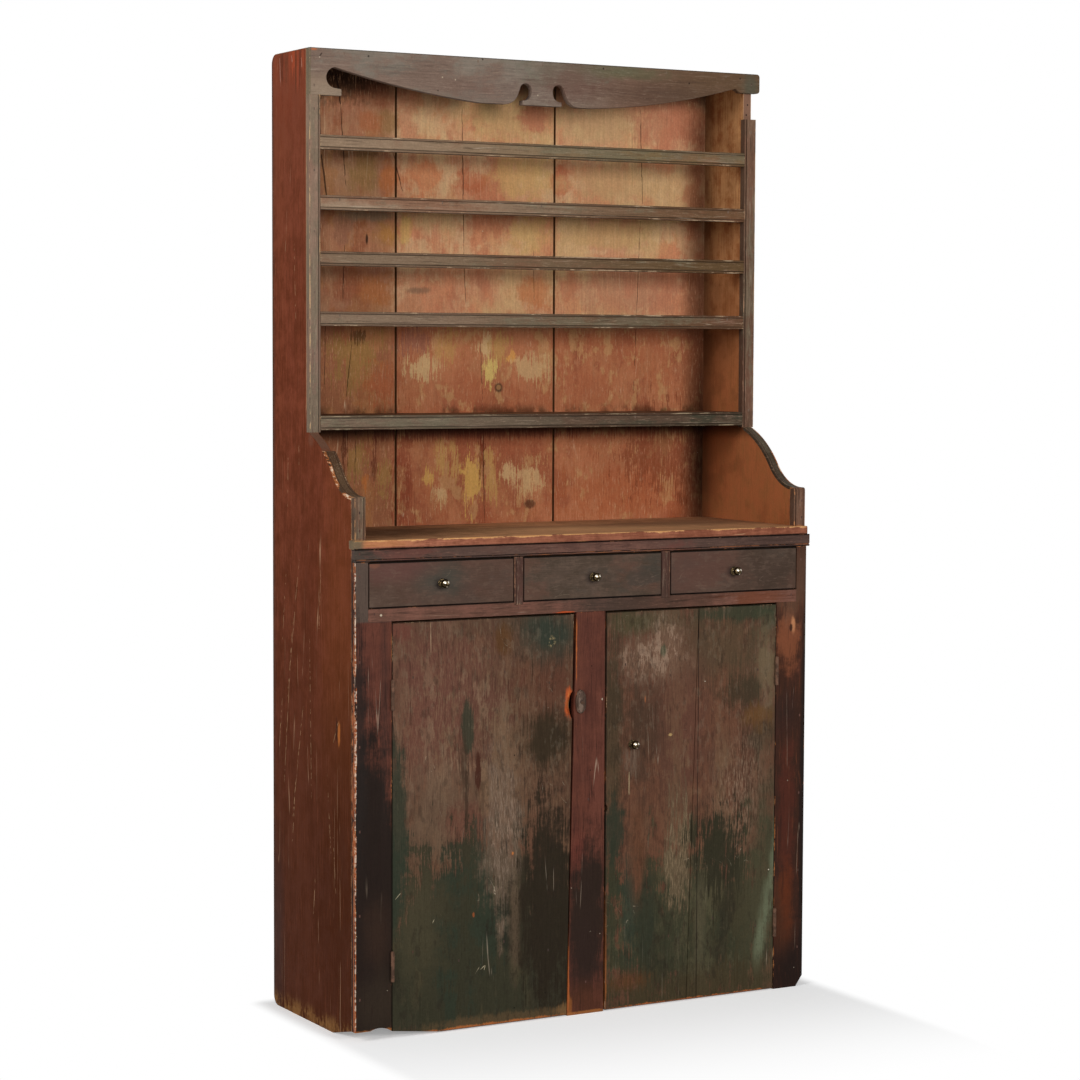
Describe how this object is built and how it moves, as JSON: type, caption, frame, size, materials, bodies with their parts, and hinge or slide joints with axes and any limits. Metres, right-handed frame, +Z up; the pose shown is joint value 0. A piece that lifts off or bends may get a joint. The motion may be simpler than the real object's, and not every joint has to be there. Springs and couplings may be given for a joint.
{
  "type": "step back cupboard",
  "caption": "Open step back cupboard with shelves and plate rails under a sawn frieze, small drawers under the counter and hinged plank doors.",
  "frame": {"origin": "on the floor, in the middle of the footprint", "axes": "+Z up, the front faces -Y, +X to the right of someone who faces the front"},
  "size_m": [1.161, 0.443, 2.11],
  "materials": {
    "red_paint_side": "old red-brown paint, worn satin",
    "ochre_back": "mottled ochre and salmon paint, matte",
    "grey_brown_trim": "worn grey-brown paint, satin",
    "brown_shelf": "aged brown paint, matte",
    "worn_counter": "brown paint worn to salmon at the edge, satin",
    "maroon_frame": "dark maroon paint, satin",
    "dark_drawer": "dark brown-black paint, satin",
    "green_black_door": "green-black paint worn to grey-brown, satin",
    "bare_pine": "bare aged pine, matte",
    "painted_iron": "painted iron, satin",
    "old_iron": "dark rusted iron, matte",
    "old_brass": "tarnished brass, polished by use",
    "button_wood": "worn painted wood, satin"
  },
  "bodies": {
    "carcass": {"backboard_centre": "ochre_back", "backboard_left": "ochre_back", "backboard_right": "ochre_back", "bottom_board": "bare_pine", "carcass_nails": "old_iron", "centre_stile": "maroon_frame", "cheek_strip_left": "grey_brown_trim", "cheek_strip_right": "grey_brown_trim", "counter_board": "worn_counter", "drawer_dividers": "maroon_frame", "drawer_rail": "maroon_frame", "drawer_runners": "bare_pine", "face_strip_left": "grey_brown_trim", "face_strip_right": "grey_brown_trim", "frame_screws": "old_iron", "frieze_board": "grey_brown_trim", "hinge_frame_leaves": "painted_iron", "hinge_pins": "painted_iron", "inner_shelf": "bare_pine", "ogee_strip_left": "grey_brown_trim", "ogee_strip_right": "grey_brown_trim", "plate_rail_lower": "grey_brown_trim", "plate_rail_upper": "grey_brown_trim", "runner_back_rail": "bare_pine", "shelf_cleats": "bare_pine", "shelf_edge_lower": "grey_brown_trim", "shelf_edge_middle": "grey_brown_trim", "shelf_edge_upper": "grey_brown_trim", "shelf_lower": "brown_shelf", "shelf_middle": "brown_shelf", "shelf_upper": "brown_shelf", "side_left": "red_paint_side", "side_right": "red_paint_side", "stile_left": "maroon_frame", "stile_right": "maroon_frame", "top_board": "brown_shelf", "top_rail": "maroon_frame"},
    "drawer_left": {"drawer_left_front": "dark_drawer", "drawer_left_sides": "bare_pine", "drawer_left_bottom": "bare_pine", "drawer_left_knob": "old_brass"},
    "drawer_centre": {"drawer_centre_front": "dark_drawer", "drawer_centre_sides": "bare_pine", "drawer_centre_bottom": "bare_pine", "drawer_centre_knob": "old_brass"},
    "drawer_right": {"drawer_right_front": "dark_drawer", "drawer_right_sides": "bare_pine", "drawer_right_bottom": "bare_pine", "drawer_right_knob": "old_brass"},
    "door_left": {"door_left_board": "green_black_door", "door_left_battens": "bare_pine", "door_left_hinge_leaves": "painted_iron", "door_left_fixings": "old_iron"},
    "door_right": {"door_right_board_inner": "green_black_door", "door_right_board_outer": "green_black_door", "door_right_battens": "bare_pine", "door_right_hinge_leaves": "painted_iron", "door_right_fixings": "old_iron", "door_knob": "old_brass"},
    "turn_button": {"turn_button": "button_wood"}
  },
  "joints": [
    {"name": "drawer_left_slide", "type": "slide", "parent": "carcass", "child": "drawer_left", "axis": [0, -1, 0], "range_m": [0, 0.26]},
    {"name": "drawer_centre_slide", "type": "slide", "parent": "carcass", "child": "drawer_centre", "axis": [0, -1, 0], "range_m": [0, 0.26]},
    {"name": "drawer_right_slide", "type": "slide", "parent": "carcass", "child": "drawer_right", "axis": [0, -1, 0], "range_m": [0, 0.26]},
    {"name": "door_left_hinge", "type": "hinge", "parent": "carcass", "child": "door_left", "pos_m": [-0.4877, -0.2017, 0.44], "axis": [0, 0, -1], "range_deg": [0, 170]},
    {"name": "door_right_hinge", "type": "hinge", "parent": "carcass", "child": "door_right", "pos_m": [0.4907, -0.2017, 0.44], "axis": [0, 0, 1], "range_deg": [0, 170]},
    {"name": "turn_button_pivot", "type": "hinge", "parent": "carcass", "child": "turn_button", "pos_m": [-0.0275, -0.2028, 0.697], "axis": [0, 1, 0], "range_deg": [-90, 90]}
  ]
}
